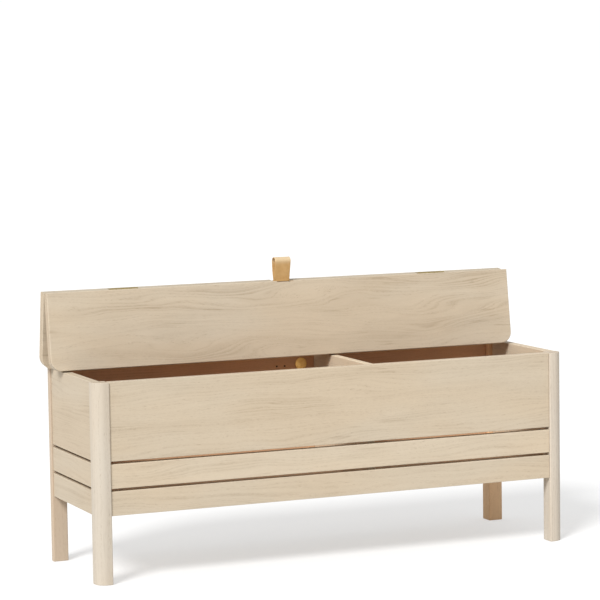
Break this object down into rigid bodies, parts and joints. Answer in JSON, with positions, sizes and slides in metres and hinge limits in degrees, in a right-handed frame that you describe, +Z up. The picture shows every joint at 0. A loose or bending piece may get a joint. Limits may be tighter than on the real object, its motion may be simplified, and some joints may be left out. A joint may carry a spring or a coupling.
{
  "type": "storage bench",
  "caption": "Low oak bench: an open divided box on rounded legs with boards over narrow slats, and a folding two-board lid on brass hinges with a leather pull loop.",
  "frame": {"origin": "on the floor, under the middle of the bounding box of the bench as it stands in the picture", "axes": "+X to the right along the bench, -Y towards its front, +Z up"},
  "size_m": [1.13, 0.334, 0.6499],
  "materials": {
    "oak_legs": "white-oiled oak, matt",
    "oak_boards": "white-oiled oak, matt",
    "oak_inside": "white-oiled oak, matt",
    "oak_lid": "white-oiled oak, matt",
    "brass": "satin brass",
    "leather": "vegetable-tanned, semi-matt",
    "dark_pins": "dark oxidised"
  },
  "bodies": {
    "carcass": {"leg_front_left": "oak_legs", "leg_front_right": "oak_legs", "leg_rear_left": "oak_legs", "leg_rear_right": "oak_legs", "front_board": "oak_boards", "front_upper_slat": "oak_boards", "front_lower_slat": "oak_boards", "rear_board": "oak_boards", "rear_upper_slat": "oak_boards", "rear_lower_slat": "oak_boards", "left_board": "oak_boards", "left_upper_slat": "oak_boards", "left_lower_slat": "oak_boards", "right_board": "oak_boards", "right_upper_slat": "oak_boards", "right_lower_slat": "oak_boards", "bottom_board": "oak_inside", "front_batten": "oak_inside", "rear_batten": "oak_inside", "left_batten": "oak_inside", "right_batten": "oak_inside", "divider": "oak_inside", "brass_disc": "brass", "rear_board_pin_left": "dark_pins", "rear_board_pin_right": "dark_pins"},
    "lid_carriage": {"lid_rear_bead": "oak_lid"},
    "lid_rear": {"lid_rear_board": "oak_lid", "hinge_left_rear_leaf": "brass", "hinge_right_rear_leaf": "brass", "hinge_left_pin": "brass", "hinge_right_pin": "brass", "pull_loop_tail": "leather", "pull_loop_screw_1": "brass", "pull_loop_screw_2": "brass", "hinge_left_rear_screw_1": "brass", "hinge_left_rear_screw_2": "brass", "hinge_left_rear_screw_3": "brass", "hinge_right_rear_screw_1": "brass", "hinge_right_rear_screw_2": "brass", "hinge_right_rear_screw_3": "brass"},
    "lid_front": {"lid_front_board": "oak_lid", "lid_front_bead": "oak_lid", "hinge_left_front_leaf": "brass", "hinge_right_front_leaf": "brass", "hinge_left_front_screw_1": "brass", "hinge_left_front_screw_2": "brass", "hinge_left_front_screw_3": "brass", "hinge_right_front_screw_1": "brass", "hinge_right_front_screw_2": "brass", "hinge_right_front_screw_3": "brass"},
    "pull_loop": {"pull_loop": "leather"}
  },
  "joints": [
    {"name": "lid_slide", "type": "slide", "parent": "carcass", "child": "lid_carriage", "axis": [0.3642, 0.9313, 0], "range_m": [-0.00599, 0.0605]},
    {"name": "lid_tilt", "type": "hinge", "parent": "lid_carriage", "child": "lid_rear", "pos_m": [-0.01, 0.11245, 0.4293], "axis": [1, 0, 0], "range_deg": [-8, 82]},
    {"name": "lid_fold", "type": "hinge", "parent": "lid_rear", "child": "lid_front", "pos_m": [-0.01, 0.0857, 0.5959], "axis": [1, 0, 0], "range_deg": [-164, 16]},
    {"name": "pull_loop_swing", "type": "hinge", "parent": "lid_rear", "child": "pull_loop", "pos_m": [-0.01, 0.0857, 0.5959], "axis": [1, 0, 0], "range_deg": [-82, 8]}
  ],
  "couplings": [
    {"joint": "lid_slide", "follows": "lid_tilt", "m_per_rad": 0.042205},
    {"joint": "lid_fold", "follows": "lid_tilt", "ratio": -2},
    {"joint": "pull_loop_swing", "follows": "lid_tilt", "ratio": -1}
  ]
}
